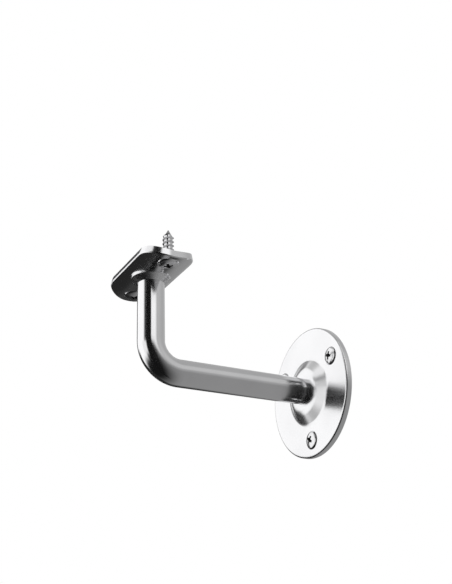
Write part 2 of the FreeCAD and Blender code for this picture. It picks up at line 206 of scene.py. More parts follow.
@dataclass
class SurfaceEffects:
    """The varying marks that the finishes share, each one a node group.

    Args:
        cloud_edges: Noise levels at which a cloud of haze starts and is full.
        speck_edges: Noise levels at which a speck starts and is full.
        speck_share: Part of the haze that the specks make.
        ring_wander: How far a turned ring drifts over a radian of its turn.
        ripple_scale: Spots to the metre of the noise that unsettles a weld's ripples.
        ripple_wander: How far that noise moves them, in radians of their wave.
    """

    cloud_edges: tuple[float, float] = (0.35, 0.7)
    speck_edges: tuple[float, float] = (0.55, 0.8)
    speck_share: float = 0.35
    ring_wander: float = 0.3 * MM
    ripple_scale: float = 600.0
    ripple_wander: float = 2.0

    def new_group(self, name: str, inputs: Iterable[str], output: str
                  ) -> tuple[NodeBench, bpy.types.Node, Socket]:
        """Starts a node group.

        Args:
            name: The group's name.
            inputs: Names of its number inputs.
            output: Name of its number output.

        Returns:
            The group's bench, its input node and its output socket.
        """
        tree = bpy.data.node_groups.new(name, "ShaderNodeTree")
        for label in inputs:
            tree.interface.new_socket(label, in_out="INPUT", socket_type="NodeSocketFloat")
        tree.interface.new_socket(output, in_out="OUTPUT", socket_type="NodeSocketFloat")
        entry = tree.nodes.new("NodeGroupInput")
        leave = tree.nodes.new("NodeGroupOutput")
        return NodeBench(tree), entry, leave.inputs[0]

    def polish_haze(self) -> bpy.types.NodeTree:
        """Makes the soft clouding that wiping leaves on bright plating.

        Returns:
            A group that puts out Haze, from 0 to 1.
        """
        bench, entry, out = self.new_group("polish_haze", ("Cloud_Scale", "Speck_Scale"), "Haze")
        place = bench.add("TexCoord").outputs["Object"]
        clouds = bench.noise(place, entry.outputs["Cloud_Scale"], detail=3.0)
        specks = bench.noise(place, entry.outputs["Speck_Scale"], detail=1.0)
        soft = bench.math("MULTIPLY", bench.ramp(clouds, *self.cloud_edges), 1 - self.speck_share)
        fine = bench.ramp(specks, *self.speck_edges)
        bench.wire(bench.math("MULTIPLY_ADD", fine, self.speck_share, soft), out)
        return bench.tree

    def turned_rings(self) -> bpy.types.NodeTree:
        """Makes the fine rings that turning leaves round the wall plate's axis.

        Returns:
            A group that puts out Height, from 0 to 1.
        """
        bench, entry, out = self.new_group("turned_rings", ("Rings",), "Height")
        split = bench.add("SeparateXYZ")
        bench.wire(bench.add("TexCoord").outputs["Object"], split.inputs[0])
        x, z = split.outputs["X"], split.outputs["Z"]
        radius = bench.math("SQRT", bench.math("MULTIPLY_ADD", x, x, bench.math("MULTIPLY", z, z)))
        angle = bench.math("ARCTAN2", z, x)
        spot = bench.add("CombineXYZ")
        bench.wire(radius, spot.inputs["X"])
        bench.wire(bench.math("MULTIPLY", angle, self.ring_wander), spot.inputs["Y"])
        bench.wire(bench.noise(spot.outputs[0], entry.outputs["Rings"], detail=3.0), out)
        return bench.tree

    def weld_ripples(self) -> bpy.types.NodeTree:
        """Makes the scale-like ripples of a weld that runs round the rod.

        Returns:
            A group that puts out Height, from 0 to 1.
        """
        bench, entry, out = self.new_group("weld_ripples",
                                           ("Centre_Y", "Across_Y", "Ripples"), "Height")
        split = bench.add("SeparateXYZ")
        place = bench.add("TexCoord").outputs["Object"]
        bench.wire(place, split.inputs[0])
        away = bench.math("SUBTRACT", split.outputs["Y"], entry.outputs["Centre_Y"])
        across = bench.math("MULTIPLY", away, entry.outputs["Across_Y"])
        upright = bench.math("MULTIPLY", split.outputs["Z"],
                             bench.math("SUBTRACT", 1.0, entry.outputs["Across_Y"]))
        angle = bench.math("ARCTAN2", bench.math("ADD", across, upright), split.outputs["X"])
        wander = bench.math("MULTIPLY", bench.noise(place, self.ripple_scale),
                            self.ripple_wander)
        phase = bench.math("MULTIPLY_ADD", angle, entry.outputs["Ripples"], wander)
        bench.wire(bench.math("MULTIPLY_ADD", bench.math("SINE", phase), 0.5, 0.5), out)
        return bench.tree

    def build(self) -> dict[str, bpy.types.NodeTree]:
        """Makes every shared group.

        Returns:
            The groups by name.
        """
        groups = (self.polish_haze(), self.turned_rings(), self.weld_ripples())
        return {group.name: group for group in groups}


# ---------------------------------------------------------------- finishes

class Marks(Enum):
    """What the tools left on a surface."""

    NONE = "none"
    TURNED = "turned"
    SCALED = "scaled"


class Grain(Enum):
    """Which way the polish blurs what a surface mirrors."""

    NONE = "none"
    OUTWARDS = "outwards"
    ALONG_ROD = "along_rod"


@dataclass(frozen=True)
class Plating:
    """Bright chrome plating, or bare steel, over whatever marks the metal has.

    Args:
        name: The material's name.
        smooth: Roughness where it is cleanest.
        hazy: Roughness where it is most clouded.
        depth: How strongly the marks under it show, as a bump's strength.
        colour: Its colour in linear light.
        marks: The marks under it.
        grain: Which way it blurs most.
        spread: How much more it blurs that way, as the shader's anisotropy.
        cloud_scale: Clouds of haze to the metre.
        ripple_centre: Where the weld's axis crosses Y, or none if it runs along Y.
        speck_scale: Specks of haze to the metre.
        ring_scale: Turned rings to the metre.
        ripples: Ripples round a weld.
        pit_scale: Pits to the metre on a surface with no tool's marks.
        haze_tint: Colour of the most clouded spots, over the clean colour.
        mark_height: Height of the marks at a bump strength of 1.
    """

    name: str
    smooth: float
    hazy: float
    depth: float
    colour: tuple[float, float, float] = (0.87, 0.87, 0.88)
    marks: Marks = Marks.NONE
    grain: Grain = Grain.NONE
    spread: float = 0.0
    cloud_scale: float = 55.0
    ripple_centre: float | None = None
    speck_scale: float = 1400.0
    ring_scale: float = 2600.0
    ripples: float = 26.0
    pit_scale: float = 900.0
    haze_tint: float = 0.95
    mark_height: float = 0.02 * MM

    def height(self, bench: NodeBench, effects: dict[str, bpy.types.NodeTree]) -> Socket:
        """Makes the height of the surface's marks.

        Args:
            bench: Where the nodes go.
            effects: The shared groups.

        Returns:
            The height's socket, from 0 to 1.
        """
        if self.marks is Marks.TURNED:
            return bench.use_group(effects["turned_rings"], Rings=self.ring_scale).outputs[0]
        if self.marks is Marks.SCALED:
            upright = self.ripple_centre is not None
            return bench.use_group(effects["weld_ripples"], Centre_Y=self.ripple_centre or 0.0,
                                   Across_Y=float(upright), Ripples=self.ripples).outputs[0]
        return bench.noise(bench.add("TexCoord").outputs["Object"], self.pit_scale)

    def along_rod(self, bench: NodeBench) -> Socket:
        """Makes the direction of the bent rod's own centre line.

        Args:
            bench: Where the nodes go.

        Returns:
            The direction's socket.
        """
        place = bench.add("TexCoord").outputs["Object"]
        low, high = (Vector(corner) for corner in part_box("arm"))
        rod_r = (high.x - low.x) / 2
        bend = (0.0, low.y + rod_r + BEND_RADIUS, low.z + rod_r + BEND_RADIUS)
        from_bend = bench.vector("SUBTRACT", place, bend)
        clipped = bench.vector("MINIMUM", from_bend, (0.0, 0.0, 0.0))
        outwards = bench.vector("MULTIPLY", clipped, (0.0, 1.0, 1.0))
        return bench.vector("CROSS_PRODUCT", (1.0, 0.0, 0.0), outwards)

    def build(self, effects: dict[str, bpy.types.NodeTree]) -> bpy.types.Material:
        """Makes the material.

        Args:
            effects: The shared groups.

        Returns:
            The material.
        """
        material = bpy.data.materials.new(self.name)
        material.use_nodes = True
        shader = material.node_tree.nodes["Principled BSDF"]
        bench = NodeBench(material.node_tree)
        shader.inputs["Metallic"].default_value = 1
        haze = bench.use_group(effects["polish_haze"], Cloud_Scale=self.cloud_scale,
                               Speck_Scale=self.speck_scale).outputs[0]
        bench.wire(bench.blend(haze, self.smooth, self.hazy), shader.inputs["Roughness"])
        tint = bench.add("Mix", data_type="RGBA")
        bench.wire(haze, tint.inputs["Factor"])
        clean, clouded = (socket for socket in tint.inputs if socket.type == "RGBA")
        bench.wire((*self.colour, 1), clean)
        bench.wire((*(part * self.haze_tint for part in self.colour), 1), clouded)
        mixed, = (socket for socket in tint.outputs if socket.type == "RGBA")
        bench.wire(mixed, shader.inputs["Base Color"])
        bump = bench.add("Bump")
        bump.inputs["Distance"].default_value = self.mark_height
        bump.inputs["Strength"].default_value = self.depth
        bench.wire(self.height(bench, effects), bump.inputs["Height"])
        bench.wire(bump.outputs[0], shader.inputs["Normal"])
        shader.inputs["Anisotropic"].default_value = self.spread
        if self.grain is Grain.OUTWARDS:
            shader.inputs["Anisotropic Rotation"].default_value = QUARTER_TURN
            tangent = bench.add("Tangent", direction_type="RADIAL", axis="Y")
            bench.wire(tangent.outputs[0], shader.inputs["Tangent"])
        if self.grain is Grain.ALONG_ROD:
            bench.wire(self.along_rod(bench), shader.inputs["Tangent"])
        return material


# ---------------------------------------------------------------- mesh helpers

def middle_of(node: str) -> Vector:
    """Gives the middle of a CAD node's box."""
    low, high = (Vector(corner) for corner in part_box(node))
    return (low + high) / 2


def new_object(name: str, bm: bmesh.types.BMesh) -> bpy.types.Object:
    """Turns a bmesh into an object of the scene.

    Args:
        name: The object's name.
        bm: Its shape, which is freed.

    Returns:
        The object, at the origin.
    """
    mesh = bpy.data.meshes.new(name)
    bm.to_mesh(mesh)
    bm.free()
    obj = bpy.data.objects.new(name, mesh)
    bpy.context.scene.collection.objects.link(obj)
    return obj


def smooth(piece: bpy.types.Object, degrees: float) -> None:
    """Shades a piece smooth, but for edges sharper than an angle.

    Args:
        piece: The piece.
        degrees: The sharpest angle that stays smooth.
    """
    piece.data.shade_smooth()
    piece.data.set_sharp_from_angle(angle=math.radians(degrees))


def turn(bm: bmesh.types.BMesh, outline: list[tuple[float, float]], steps: int,
         closed: bool = False) -> None:
    """Turns an outline once round the Z axis, as a lathe does.

    Args:
        bm: Where the shape goes.
        outline: Points of radius and height.
        steps: Faces round the axis.
        closed: Whether the outline's last point joins its first.
    """
    verts = [bm.verts.new((radius, 0, height)) for radius, height in outline]
    after = verts[1:] + verts[:1] if closed else verts[1:]
    edges = [bm.edges.new(pair) for pair in zip(verts, after)]
    bmesh.ops.spin(bm, geom=verts + edges, cent=(0, 0, 0), axis=(0, 0, 1), dvec=(0, 0, 0),
                   angle=math.tau, steps=steps, use_merge=True, use_duplicate=False)
    bmesh.ops.remove_doubles(bm, verts=bm.verts, dist=MERGE)
    bmesh.ops.recalc_face_normals(bm, faces=bm.faces)


def arc(centre: tuple[float, float], radius: float, start: float, end: float,
        steps: int) -> list[tuple[float, float]]:
    """Gives the points of an arc.

    Args:
        centre: Its centre.
        radius: Its radius.
        start: Heading of its first point, in radians.
        end: Heading of its last point.
        steps: How many lines stand for it.

    Returns:
        The points, its first and last among them.
    """
    headings = [start + (end - start) * step / steps for step in range(steps + 1)]
    return [(centre[0] + radius * math.cos(heading), centre[1] + radius * math.sin(heading))
            for heading in headings]


def cut_away(piece: bpy.types.Object, tool: bmesh.types.BMesh) -> None:
    """Cuts a shape out of a piece for good, and closes up the slivers that this leaves.

    Args:
        piece: The piece.
        tool: The shape to take away, which is freed.
    """
    bmesh.ops.recalc_face_normals(tool, faces=tool.faces)
    cutter = new_object(f"{piece.name}_cutter", tool)
    cut = piece.modifiers.new("cut", "BOOLEAN")
    cut.operation, cut.solver, cut.object, cut.use_self = "DIFFERENCE", "EXACT", cutter, True
    finished = bpy.data.meshes.new_from_object(
        piece.evaluated_get(bpy.context.evaluated_depsgraph_get()))
    piece.modifiers.clear()
    piece.data = finished
    bpy.data.objects.remove(cutter)
    bm = bmesh.new()
    bm.from_mesh(finished)
    bmesh.ops.remove_doubles(bm, verts=bm.verts, dist=SLIVER)
    bmesh.ops.dissolve_degenerate(bm, dist=SLIVER, edges=bm.edges)
    bm.to_mesh(finished)
    bm.free()


# ---------------------------------------------------------------- wall plate

@dataclass
class PressedRosette:
    """The wall plate with its rim and dome turned fine, in place of the plainer CAD plate.

    It is built with its axis along +Z and its back at zero, then laid against the wall.

    Args:
        finish: Its material.
        sheet: Thickness of the sheet it is pressed from.
        rim_round: Round of the rim's front edge.
        back_round: Round of the rim's back edge.
        top_r: Radius of the dome's flat top.
        crown_round: Round of the dome's shoulder.
        foot_round: Round where the dome runs out into the face.
        foot_r: Radius where the dome ends.
        floor_r: Radius of the hollow's floor.
        mouth_r: Radius of the hollow at the wall.
        hole_r: Radius of a screw hole.
        guard: Width of the flat strips that keep the rounds' shading off the face.
        steps: Faces round the axis.
        crown_steps: Lines for the round of the dome's shoulder.
        foot_steps: Lines for the round at the dome's foot.
        rim_steps: Lines for the round of the rim's front edge.
        back_steps: Lines for the round of the rim's back edge.
        hole_steps: Faces round a screw hole.
    """

    finish: bpy.types.Material
    sheet: float = 3.0 * MM
    rim_round: float = 0.9 * MM
    back_round: float = 0.25 * MM
    top_r: float = 7.5 * MM
    crown_round: float = 7.3 * MM
    foot_round: float = 3.5 * MM
    foot_r: float = 16.23 * MM
    floor_r: float = 9.6 * MM
    mouth_r: float = 15.2 * MM
    hole_r: float = 2.4 * MM
    guard: float = 0.35 * MM
    steps: int = 240
    crown_steps: int = 14
    foot_steps: int = 12
    rim_steps: int = 8
    back_steps: int = 3
    hole_steps: int = 72
    rim_r: float = field(init=False)
    height: float = field(init=False)
    bore_r: float = field(init=False)

    def __post_init__(self) -> None:
        """Reads the plate's rim, height and bore from the CAD pieces' boxes."""
        low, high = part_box("wall_plate")
        self.rim_r, self.height = (high[0] - low[0]) / 2, high[1] - low[1]
        rod_low, rod_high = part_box("arm")
        self.bore_r = (rod_high[0] - rod_low[0]) / 2

    def outline(self) -> list[tuple[float, float]]:
        """Gives the plate's half section, from the top of its bore outwards and back.

        Returns:
            Its points, as radius and height.
        """
        crown = (self.top_r, self.height - self.crown_round)
        foot = (self.foot_r, self.sheet + self.foot_round)
        apart = math.dist(crown, foot)
        heading = math.atan2(foot[1] - crown[1], foot[0] - crown[0])
        slant = heading + math.acos((self.crown_round + self.foot_round) / apart)
        rise, rim = self.height - self.sheet, self.rim_round
        return [
            (self.bore_r, self.height),
            *arc(crown, self.crown_round, math.pi / 2, slant, self.crown_steps),
            *arc(foot, self.foot_round, slant - math.pi, -math.pi / 2, self.foot_steps),
            (self.foot_r + self.guard, self.sheet), (self.rim_r - rim - self.guard, self.sheet),
            *arc((self.rim_r - rim, self.sheet - rim), rim, math.pi / 2, 0, self.rim_steps),
            *arc((self.rim_r - self.back_round, self.back_round), self.back_round, 0,
                 -math.pi / 2, self.back_steps),
            (self.mouth_r, 0), (self.floor_r, rise), (self.bore_r, rise)]

    def cut_hole(self, piece: bpy.types.Object, screw: str) -> None:
        """Cuts one countersunk screw hole.

        Args:
            piece: The turned plate, still flat.
            screw: The CAD screw that goes in it.
        """
        low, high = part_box(screw)
        head_r, middle = (high[0] - low[0]) / 2, middle_of(screw)
        above = self.sheet + OVERCUT
        sink_end = self.sheet - (head_r - self.hole_r)
        tool = bmesh.new()
        turn(tool, [(0, -OVERCUT), (self.hole_r, -OVERCUT), (self.hole_r, sink_end),
                    (head_r, self.sheet), (head_r, above), (0, above)], self.hole_steps)
        tool.transform(Matrix.Translation((middle.x, middle.z, 0)))
        cut_away(piece, tool)

    def build(self) -> bpy.types.Object:
        """Builds the plate in its place.

        Returns:
            The finished plate.
        """
        bm = bmesh.new()
        turn(bm, self.outline(), self.steps, closed=True)
        piece = new_object("turned_wall_plate", bm)
        piece.data.materials.append(self.finish)
        for number in (1, 2, 3):
            self.cut_hole(piece, f"wall_screw_{number}")
        piece.data.transform(Matrix.Rotation(math.pi / 2, 4, "X"))
        smooth(piece, 25)
        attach(piece, "root")
        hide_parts("wall_plate")
        return piece


# ---------------------------------------------------------------- screws

@dataclass(frozen=True)
class ScrewSize:
    """What sets one kind of screw apart from the other.

    Args:
        kind: The start of its CAD nodes' names, before their numbers.
        thread_dia: Outer diameter of the thread.
        recess: Length of the recess's wings from end to end.
        plain: Length of the plain neck, from the rim to the first thread.
        point: Length of the tapered tip.
        pitch: Rise of the thread in a turn.
        recess_turns: How far each screw's recess is turned, in degrees.
    """

    kind: str
    thread_dia: float
    recess: float
    plain: float
    point: float
    pitch: float
    recess_turns: tuple[float, ...]


@dataclass
class RaisedScrew:
    """A raised countersunk screw with a cross recess and a rolled thread, for one plain CAD screw.

    It is built with its axis along +Z, its tip up and its head's rim at zero, then put in place.

    Args:
        node: The CAD screw that it stands for.
        size: The sizes of its kind.
        recess_turn: How far its recess is turned, in degrees.
        finish: Its material.
        recess_shade_finish: The darker material inside its recess, whose dark colour is painted
            shade.
        rim_play: How much smaller its head is than its countersink.
        rim_land: Height of the head's upright rim.
        crown_round: Round of the crown's middle.
        shoulder_round: Round of the crown's edge.
        shoulder_slope: How steep the crown ends at the rim, in degrees.
        wing: Width of a wing of the recess.
        core: Radius of the recess's middle.
        recess_depth: Depth of the recess from the crown's top.
        length_taper: Length of the wings at the recess's floor, over that at its mouth.
        width_taper: Width of the wings at the recess's floor, over that at its mouth.
        core_taper: Radius of the recess's middle at its floor, over that at its mouth.
        core_steps: Faces round the recess's middle.
        root: Diameter of the thread's root, over its outer diameter.
        bury: How deep the thread's ridge stands in the core.
        ridge: Half the width of the ridge's foot, over the pitch.
        tip_gap: How far the ridge stops short of the tip.
        first_ridge: Height of the ridge at its start, over its full height.
        tip_least: How much of a radius is left at the very tip.
        steps: Faces round the axis.
        crown_steps: Lines for each of the crown's two arcs.
        thread_steps: Faces in a turn of the thread.
    """

    node: str
    size: ScrewSize
    recess_turn: float
    finish: bpy.types.Material
    recess_shade_finish: bpy.types.Material
    rim_play: float = 0.08 * MM
    rim_land: float = 0.12 * MM
    crown_round: float = 9.0 * MM
    shoulder_round: float = 1.8 * MM
    shoulder_slope: float = 60.0
    wing: float = 1.3 * MM
    core: float = 1.3 * MM
    recess_depth: float = 2.6 * MM
    length_taper: float = 0.45
    width_taper: float = 0.6
    core_taper: float = 0.5
    core_steps: int = 12
    root: float = 0.74
    bury: float = 0.1 * MM
    ridge: float = 0.3
    tip_gap: float = 0.8 * MM
    first_ridge: float = 0.2
    tip_least: float = 0.05
    steps: int = 64
    crown_steps: int = 7
    thread_steps: int = 24
    length: float = field(init=False)
    head_r: float = field(init=False)
    core_r: float = field(init=False)
    slope: float = field(init=False)
    shoulder_at: float = field(init=False)
    meet: float = field(init=False)
    rise: float = field(init=False)
    place: Matrix = field(init=False)

    def __post_init__(self) -> None:
        """Works out the screw's place and its crown from the CAD screw's box."""
        low, high = (Vector(corner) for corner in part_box(self.node))
        extent, middle = high - low, middle_of(self.node)
        self.length = max(extent)
        self.head_r = min(extent) / 2 - self.rim_play
        self.core_r = self.size.thread_dia / 2 * self.root
        self.slope = math.radians(self.shoulder_slope)
        self.shoulder_at = self.head_r - self.shoulder_round * math.sin(self.slope)
        self.meet = math.asin(self.shoulder_at / (self.crown_round - self.shoulder_round))
        self.rise = (self.crown_round * (1 - math.cos(self.meet))
                     + self.shoulder_round * (math.cos(self.meet) - math.cos(self.slope)))
        if extent.y > extent.z:
            start, heading = (middle.x, low.y, middle.z), Matrix.Rotation(-math.pi / 2, 4, "X")
        else:
            start, heading = (middle.x, middle.y, low.z), Matrix.Identity(4)
        self.place = Matrix.Translation(start) @ heading

    def outline(self) -> list[tuple[float, float]]:
        """Gives the turned outline, from the crown's middle to the tip.

        Returns:
            Its points, as radius and height.
        """
        up = -math.pi / 2
        crown = arc((0.0, self.crown_round - self.rise), self.crown_round, up, up + self.meet,
                    self.crown_steps)
        shoulder = arc((self.shoulder_at, self.shoulder_round * math.cos(self.slope)),
                       self.shoulder_round, up + self.meet, up + self.slope, self.crown_steps)
        neck_at = self.rim_land + self.head_r - self.core_r
        return [*crown, *shoulder[1:], (self.head_r, self.rim_land), (self.core_r, neck_at),
                (self.core_r, self.length - self.size.point), (0.0, self.length)]

    def cut_recess(self, piece: bpy.types.Object) -> None:
        """Cuts the cross recess into the head.

        Args:
            piece: The turned body, still upright.
        """
        bm = bmesh.new()
        floor, mouth = self.recess_depth - self.rise, -self.rise - OVERCUT
        for degrees in (self.recess_turn, self.recess_turn + 90):
            slab = bmesh.ops.create_cube(bm, size=1.0)["verts"]
            for vert in slab:
                deep = vert.co.z > 0
                vert.co.x *= self.size.recess * (self.length_taper if deep else 1)
                vert.co.y *= self.wing * (self.width_taper if deep else 1)
                vert.co.z = floor if deep else mouth
            bmesh.ops.transform(bm, verts=slab,
                                matrix=Matrix.Rotation(math.radians(degrees), 4, "Z"))
        bmesh.ops.create_cone(bm, cap_ends=True, segments=self.core_steps, radius1=self.core,
                              radius2=self.core * self.core_taper, depth=floor - mouth,
                              matrix=Matrix.Translation((0, 0, (floor + mouth) / 2)))
        for face in bm.faces:
            # the recess's faces take the second material, whose dark colour is painted shade
            face.material_index = 1
        cut_away(piece, bm)

    def roll_thread(self, bm: bmesh.types.BMesh) -> None:
        """Winds the thread's ridge round the core and tapers it with the core at the tip.

        Args:
            bm: Where the ridge goes.
        """
        pitch, point = self.size.pitch, self.size.point
        root, crest = self.core_r - self.bury, self.size.thread_dia / 2
        half = self.ridge * pitch
        start = self.size.plain + half
        turns = int((self.length - start - self.tip_gap) / pitch)
        verts = [bm.verts.new((root, 0, start - half)), bm.verts.new((crest, 0, start)),
                 bm.verts.new((root, 0, start + half))]
        face = bm.faces.new(verts)
        bmesh.ops.spin(bm, geom=[face, *face.edges, *face.verts], cent=(0, 0, 0), axis=(0, 0, 1),
                       dvec=(0, 0, pitch / self.thread_steps), angle=math.tau * turns,
                       steps=self.thread_steps * turns, use_merge=False, use_duplicate=False)
        for vert in bm.verts:
            radius, height = vert.co.xy.length, vert.co.z
            if radius > self.core_r:
                run_in = min(1.0, (height - start) / pitch + self.first_ridge)
                vert.co.xy *= (root + (radius - root) * run_in) / radius
            if height > self.length - point:
                vert.co.xy *= max((self.length - height) / point, self.tip_least)
        bmesh.ops.recalc_face_normals(bm, faces=bm.faces)

    def build(self) -> bpy.types.Object:
        """Builds the screw in its place.

        Returns:
            The finished screw.
        """
        bm = bmesh.new()
        turn(bm, self.outline(), self.steps)
        piece = new_object(f"{self.node}_with_recess", bm)
        for material in (self.finish, self.recess_shade_finish):
            piece.data.materials.append(material)
        self.cut_recess(piece)
        thread = bmesh.new()
        self.roll_thread(thread)
        ridge = bpy.data.meshes.new("ridge")
        thread.to_mesh(ridge)
        thread.free()
        whole = bmesh.new()
        whole.from_mesh(piece.data)
        whole.from_mesh(ridge)
        whole.transform(self.place)
        whole.to_mesh(piece.data)
        whole.free()
        bpy.data.meshes.remove(ridge)
        smooth(piece, 30)
        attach(piece, "root")
        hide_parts(self.node)
        return piece


# ---------------------------------------------------------------- studio

@dataclass(frozen=True)
class Panel:
    """A soft light or a dark card far off, as a patch of the room; angles are in degrees.

    Args:
        azimuth: Its left and right edges, from +X towards +Y.
        elevation: Its lower and upper edges, above the level.
        side_soft: Width of the blur of its left and right edges.
        end_soft: Width of the blur of its lower and upper edges.
        level: Its brightness, where 1 is white.
    """

    azimuth: tuple[float, float]
    elevation: tuple[float, float]
    side_soft: tuple[float, float]
    end_soft: tuple[float, float]
    level: float

    def mask(self, bench: NodeBench, azimuth: Socket, elevation: Socket) -> Socket:
        """Makes the panel's mask.

        Args:
            bench: Where the nodes go.
            azimuth: Socket with the direction's azimuth in radians.
            elevation: Socket with its elevation in radians.

        Returns:
            A socket that is 1 inside the panel and 0 outside.
        """
        middle = math.radians(sum(self.azimuth) / 2)
        turned = bench.math("WRAP", bench.math("SUBTRACT", azimuth, middle), math.pi, -math.pi)
        half = (self.azimuth[1] - self.azimuth[0]) / 2
        sides = self.band(bench, turned, (-half, half), self.side_soft)
        return bench.math("MULTIPLY", sides,
                          self.band(bench, elevation, self.elevation, self.end_soft))

    @staticmethod
    def band(bench: NodeBench, angle: Socket, edges: tuple[float, float],
             soft: tuple[float, float]) -> Socket:
        """Makes a band between two soft edges.

        Args:
            bench: Where the nodes go.
            angle: Socket with the angle in radians.
            edges: The band's two edges in degrees.
            soft: The blur of each in degrees.

        Returns:
            A socket that is 1 inside the band and 0 outside.
        """
        (first, last), (blur_in, blur_out) = edges, soft
        rise = bench.ramp(angle, math.radians(first - blur_in / 2),
                          math.radians(first + blur_in / 2))
        fall = bench.ramp(angle, math.radians(last - blur_out / 2),
                          math.radians(last + blur_out / 2), 1.0, 0.0)
        return bench.math("MULTIPLY", rise, fall)


@dataclass
class Studio:
    """A room with soft panels and dark cards for the metal to mirror, a floor and a plain wall.

    Args:
        dark: Brightness of the room's unlit side, where 1 is white.
        wall_low: Brightness of its other side below the level.
        wall_high: Brightness of its other side well above the level.
        unlit_depths: How far towards +Y a direction points where dark ends and where wall starts.
        wall_heights: How far up a direction points where wall_low ends and where wall_high starts.
        everyday: Brightness of the room for matt surfaces.
        floor_height: Height of the floor.
        half_size: Half the width of the floor and of the plain wall.
        floor_grey: The floor's colour.
        floor_fade: Distances at which the floor starts to fade and is white.
        wall_gap: How far behind the wall plate's back the plain wall stands.
        lamp_place: Where the overhead lamp hangs.
        lamp_width: How wide it is.
        lamp_power: Its power in watts.
        panels: The lights and cards of the room, each over those before it.
    """

    dark: float = 0.008
    wall_low: float = 0.285
    wall_high: float = 0.43
    unlit_depths: tuple[float, float] = (-0.35, 0.5)
    wall_heights: tuple[float, float] = (-0.05, 0.3)
    everyday: float = 0.8
    floor_height: float = -0.35
    half_size: float = 3.0
    floor_grey: float = 0.86
    floor_fade: tuple[float, float] = (0.5, 1.5)
    wall_gap: float = 0.2 * MM
    lamp_place: tuple[float, float, float] = (-0.3, -0.5, 1.3)
    lamp_width: float = 1.2
    lamp_power: float = 14.0
    panels: tuple[Panel, ...] = (
        Panel((14, 60), (22, 52), (8, 50), (24, 16), 0.56),           # glow beside it
        Panel((110, 150), (12, 60), (20, 20), (20, 20), 0.5),         # pale corner over the wall
        Panel((-180, 180), (50, 120), (0.1, 0.1), (10, 10), 0.42),    # ceiling
        Panel((149, 192), (-38, 38), (10, 10), (20, 10), 0.03),       # dark end of the room
        Panel((-167, -83), (-23, 49), (10, 18), (20, 6), 1.12),       # large softbox
        Panel((-100, -64), (-14, 13), (6, 16), (14, 6), 0.95),        # its lower right corner
        Panel((-110, -64), (32, 58), (6, 16), (6, 10), 0.95),         # its upper right corner
        Panel((172, 210), (-42, 7), (10, 8), (10, 8), 0.02),          # dark floor at the dark end
        Panel((-64, -32), (-95, 95), (6, 14), (1, 1), 0.007),         # dark card by the camera
        Panel((-22.5, 16), (16, 78), (6, 12), (9, 10), 1.08),         # narrow softbox
    )

    def build_world(self) -> None:
        """Makes the world: white to the camera, plain to matt things, the room to the metal."""
        world = bpy.data.worlds.new("studio")
        bpy.context.scene.world = world
        world.use_nodes = True
        world.node_tree.nodes.clear()
        bench = NodeBench(world.node_tree)
        split = bench.add("SeparateXYZ")
        bench.wire(bench.add("TexCoord").outputs["Generated"], split.inputs[0])
        azimuth = bench.math("ARCTAN2", split.outputs["Y"], split.outputs["X"])
        elevation = bench.math("ARCSINE", split.outputs["Z"])
        wall = bench.ramp(split.outputs["Z"], *self.wall_heights, self.wall_low, self.wall_high)
        level = bench.ramp(split.outputs["Y"], *self.unlit_depths, self.dark, wall)
        for panel in self.panels:
            level = bench.blend(panel.mask(bench, azimuth, elevation), level, panel.level)
        path = bench.add("LightPath")
        mirrored = bench.math("ADD", path.outputs["Is Glossy Ray"],
                              path.outputs["Is Transmission Ray"])
        level = bench.blend(mirrored, self.everyday, level)
        level = bench.blend(path.outputs["Is Camera Ray"], level, 1.0)
        background, out = bench.add("Background"), bench.add("OutputWorld")
        bench.wire(level, background.inputs["Color"])
        bench.wire(background.outputs[0], out.inputs["Surface"])

    def plane(self, name: str, place: Matrix) -> bpy.types.Object:
        """Makes a square plane of the stage.

        Args:
            name: The object's name.
            place: Where its middle goes and how it is turned.

        Returns:
            The plane.
        """
        bm = bmesh.new()
        bmesh.ops.create_grid(bm, x_segments=1, y_segments=1, size=self.half_size)
        bm.transform(place)
        obj = new_object(name, bm)
        return obj

    def build_floor(self) -> None:
        """Lays a pale floor that fades to white away from the bracket."""
        floor = self.plane("floor", Matrix.Translation((0, 0, self.floor_height)))
        floor.visible_glossy = False
        material = bpy.data.materials.new("pale_floor")
        material.use_nodes = True
        shader = material.node_tree.nodes["Principled BSDF"]
        shader.inputs["Base Color"].default_value = (*[self.floor_grey] * 3, 1)
        shader.inputs["Roughness"].default_value = 0.9
        bench = NodeBench(material.node_tree)
        away = bench.add("VectorMath", operation="LENGTH")
        bench.wire(bench.add("TexCoord").outputs["Object"], away.inputs[0])
        far = bench.ramp(away.outputs["Value"], *self.floor_fade)
        seen = bench.add("LightPath").outputs["Is Camera Ray"]
        mix, white = bench.add("MixShader"), bench.add("Emission")
        bench.wire(bench.math("MULTIPLY", far, seen), mix.inputs[0])
        bench.wire(shader.outputs[0], mix.inputs[1])
        bench.wire(white.outputs[0], mix.inputs[2])
        bench.wire(mix.outputs[0], material.node_tree.nodes["Material Output"].inputs["Surface"])
        floor.data.materials.append(material)

    def build_wall(self) -> None:
        """Stands a white wall behind the plate, which is clear when seen from its back."""
        place = Matrix.Translation((0, self.wall_gap, 0)) @ Matrix.Rotation(math.pi / 2, 4, "X")
        wall = self.plane("wall", place)
        for ray in ("glossy", "diffuse", "shadow", "transmission"):
            setattr(wall, f"visible_{ray}", False)
        material = bpy.data.materials.new("white_wall")
        material.use_nodes = True
        material.node_tree.nodes.clear()
        bench = NodeBench(material.node_tree)
        front, clear = bench.add("Emission"), bench.add("BsdfTransparent")
        mix, out = bench.add("MixShader"), bench.add("OutputMaterial")
        bench.wire(bench.add("NewGeometry").outputs["Backfacing"], mix.inputs[0])
        bench.wire(front.outputs[0], mix.inputs[1])
        bench.wire(clear.outputs[0], mix.inputs[2])
        bench.wire(mix.outputs[0], out.inputs["Surface"])
        wall.data.materials.append(material)

